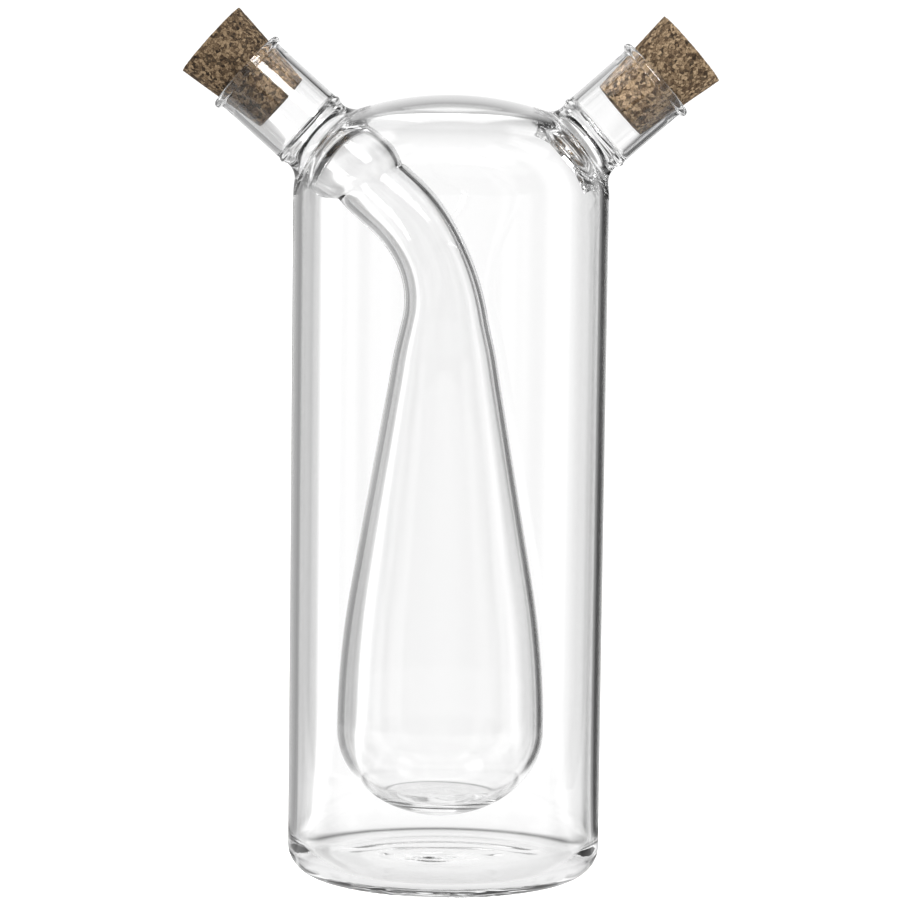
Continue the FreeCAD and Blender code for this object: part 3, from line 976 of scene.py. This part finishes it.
# %% Glass
borosilicate = 1.474
clear_glass, tree, shader = new_material("clear_glass")
place = add_node(tree, "ShaderNodeTexCoord").outputs["Object"]
along_tube = (1, 1, 0.12)
stretched = add_node(tree, "ShaderNodeMapping", {"vector_type": "POINT"}, Vector=place, Scale=along_tube).outputs[0]
draw_lines = add_node(tree, "ShaderNodeTexNoise", Vector=stretched, Scale=60.0, Detail=1.0).outputs[0]
flame_waves = add_node(tree, "ShaderNodeTexNoise", Vector=place, Scale=55.0, Detail=1.0).outputs[0]
height = add_node(tree, "ShaderNodeSeparateXYZ", _0=place).outputs["Z"]
worked = ramp_node(tree, math_node(tree, "MULTIPLY", height, 5.0), [(0.70, 0.0), (0.80, 1.0)])
waves = math_node(tree, "ADD", draw_lines, math_node(tree, "MULTIPLY", flame_waves, worked))
bumps = add_node(tree, "ShaderNodeBump", Height=waves, Strength=0.05, Distance=0.0006)
tree.links.new(bumps.outputs[0], shader.inputs["Normal"])
shader.inputs["Base Color"].default_value = (1, 1, 1, 1)
shader.inputs["Roughness"].default_value = 0.0
shader.inputs["IOR"].default_value = borosilicate
shader.inputs["Transmission Weight"].default_value = 1.0
glass.data.materials.append(clear_glass)
glass.visible_shadow = False
print("glass bends light by", round(shader.inputs["IOR"].default_value, 3))

# %% [markdown]
# The stoppers are agglomerated cork: crushed bark pressed and glued into a block, then turned to a
# taper. The cut goes through grains and glue, so the surface has a fine relief with small pits. Each
# cork is spun from a profile with close rows, and its points are pressed in along the borders
# between grains. Nothing is pushed outwards, so the cork still fits its neck.

# %% Turned corks with grains
cork_length, cork_clearance = 20.88, 0.2
cork_depth = {-1: 11.0, 1: 11.2}
grain, border_width, border_depth, whole_share, most_pit = 0.85, 0.22, 0.06, 0.93, 0.16
cork_rows, cork_turns, cork_edge = 70, 170, 0.15


def pit_depth(point, seed):
    """How far the surface lies back at a point, in millimetres: along borders and in a few pits."""
    place = Vector(point) / grain + Vector((seed, 0, 0))
    distances, centres = noise.voronoi(place)
    border = max(0.0, 1 - (distances[1] - distances[0]) / border_width)
    missing = noise.cell(centres[0] * 7.3) > whole_share
    return border_depth * border + (most_pit * max(0.0, 1 - distances[0] * 1.6) if missing else 0.0)


def turned_cork(name, side, seed):
    """A tapered cork with soft edges and its own grains, seated in its neck."""
    length, depth = neck_length[side], cork_depth[side]
    wide = mouth_radius - cork_clearance + (cork_length - depth) * cork_slope
    narrow = wide - cork_length * cork_slope
    rows = [(narrow * s / 20, 0) for s in range(20)] + [(narrow - cork_edge, 0)]
    rows += arc_points((narrow - cork_edge, cork_edge), cork_edge, -quarter, 0, 3)
    rows += [
        (mix(narrow, wide, s / cork_rows), cork_length * s / cork_rows) for s in range(2, cork_rows - 1)
    ]
    rows += arc_points((wide - cork_edge, cork_length - cork_edge), cork_edge, 0, quarter, 3)
    rows += [(wide * s / 24, cork_length) for s in range(22, -1, -1)]
    bm = bmesh.new()
    verts = [bm.verts.new((radius, 0, height)) for radius, height in rows]
    edges = [bm.edges.new(pair) for pair in zip(verts, verts[1:])]
    bmesh.ops.spin(
        bm, geom=verts + edges, cent=(0, 0, 0), axis=(0, 0, 1), angle=2 * math.pi, steps=cork_turns,
        use_merge=True,
    )
    bmesh.ops.remove_doubles(bm, verts=bm.verts, dist=1e-4)
    bmesh.ops.recalc_face_normals(bm, faces=bm.faces)
    moved = [(v, v.co - v.normal * pit_depth(v.co, seed)) for v in bm.verts]
    for v, place in moved:
        v.co = place
    for face in bm.faces:
        face.smooth = True
    to_neck = neck_frame[side] @ Matrix.Translation((0, 0, length - depth))
    bmesh.ops.transform(bm, matrix=Matrix.Scale(MM, 4) @ to_neck, verts=bm.verts)
    return new_object(name, bm)


vinegar_cork = turned_cork("grained_vinegar_cork", -1, 0)
oil_cork = turned_cork("grained_oil_cork", 1, 50)
print("corks", [len(cork.data.polygons) for cork in (vinegar_cork, oil_cork)], "faces")

# %% [markdown]
# Grains of bark differ in colour from straw to dark brown, with a few nearly black pieces of outer
# bark and a few pale ones, and the glue between them is darker. One pattern of cells gives every
# grain its own colour, a finer one breaks the grains up, and the distance to the nearest border
# draws the glue.

# %% Agglomerated cork
grain_scale, crumb_scale, fine_scale = 1500.0, 3800.0, 5200.0


def cork_material(name, dark, middle, light, black_share):
    """Cork in three tones, of which a share of the grains is nearly black bark."""
    material, tree, shader = new_material(name)
    place = add_node(tree, "ShaderNodeTexCoord").outputs["Object"]
    wobble = add_node(tree, "ShaderNodeTexNoise", Vector=place, Scale=grain_scale, Detail=2.0).outputs["Color"]
    bent = add_node(
        tree, "ShaderNodeMix", {"data_type": "VECTOR"}, _0=0.0006, _4=place, _5=wobble
    ).outputs[1]
    grains = add_node(tree, "ShaderNodeTexVoronoi", Vector=bent, Scale=grain_scale)
    borders = add_node(
        tree, "ShaderNodeTexVoronoi", {"feature": "DISTANCE_TO_EDGE"}, Vector=bent, Scale=grain_scale
    )
    crumbs = add_node(tree, "ShaderNodeTexVoronoi", Vector=bent, Scale=crumb_scale)
    fine = add_node(tree, "ShaderNodeTexNoise", Vector=place, Scale=fine_scale, Detail=3.0).outputs[0]
    grain_tone = add_node(tree, "ShaderNodeSeparateColor", Color=grains.outputs["Color"])
    crumb_tone = add_node(tree, "ShaderNodeSeparateColor", Color=crumbs.outputs["Color"]).outputs[0]
    tone = math_node(
        tree, "ADD", math_node(tree, "MULTIPLY", grain_tone.outputs[0], 0.6),
        math_node(
            tree, "ADD", math_node(tree, "MULTIPLY", crumb_tone, 0.28), math_node(tree, "MULTIPLY", fine, 0.24)
        ),
    )
    body = ramp_node(tree, tone, [(0.28, dark), (0.54, middle), (0.82, light)])
    bark = math_node(tree, "LESS_THAN", grain_tone.outputs[1], black_share)
    barked = add_node(
        tree, "ShaderNodeMix", {"data_type": "RGBA"}, _0=math_node(tree, "MULTIPLY", bark, 0.8), _6=body,
        _7=tuple(c * 0.3 for c in dark) + (1,),
    ).outputs[2]
    glue = ramp_node(tree, borders.outputs["Distance"], [(0.0, 0.42), (0.09, 1.0)])
    colour = add_node(
        tree, "ShaderNodeMix", {"data_type": "RGBA", "blend_type": "MULTIPLY"}, _0=1.0, _6=barked, _7=glue
    ).outputs[2]
    tree.links.new(colour, shader.inputs["Base Color"])
    relief = math_node(tree, "ADD", glue, math_node(tree, "MULTIPLY", fine, 0.5))
    bumps = add_node(tree, "ShaderNodeBump", Height=relief, Strength=0.5, Distance=0.00012)
    tree.links.new(bumps.outputs[0], shader.inputs["Normal"])
    shader.inputs["Roughness"].default_value = 0.85
    shader.inputs["Specular IOR Level"].default_value = 0.1
    return material


dark_cork = cork_material("dark_cork", (0.028, 0.017, 0.009), (0.10, 0.065, 0.036), (0.22, 0.155, 0.092), 0.12)
light_cork = cork_material("light_cork", (0.05, 0.03, 0.016), (0.15, 0.10, 0.057), (0.30, 0.215, 0.13), 0.1)
vinegar_cork.data.materials.append(dark_cork)
oil_cork.data.materials.append(light_cork)
for cork, node, body, slot in (
    (vinegar_cork, "vinegar_cork", "vinegar_stopper", "cork_dark"),
    (oil_cork, "oil_cork", "oil_stopper", "cork_light"),
):
    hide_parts(node)
    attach(cork, body)
print("cork materials on", vinegar_cork.name, "and", oil_cork.name)
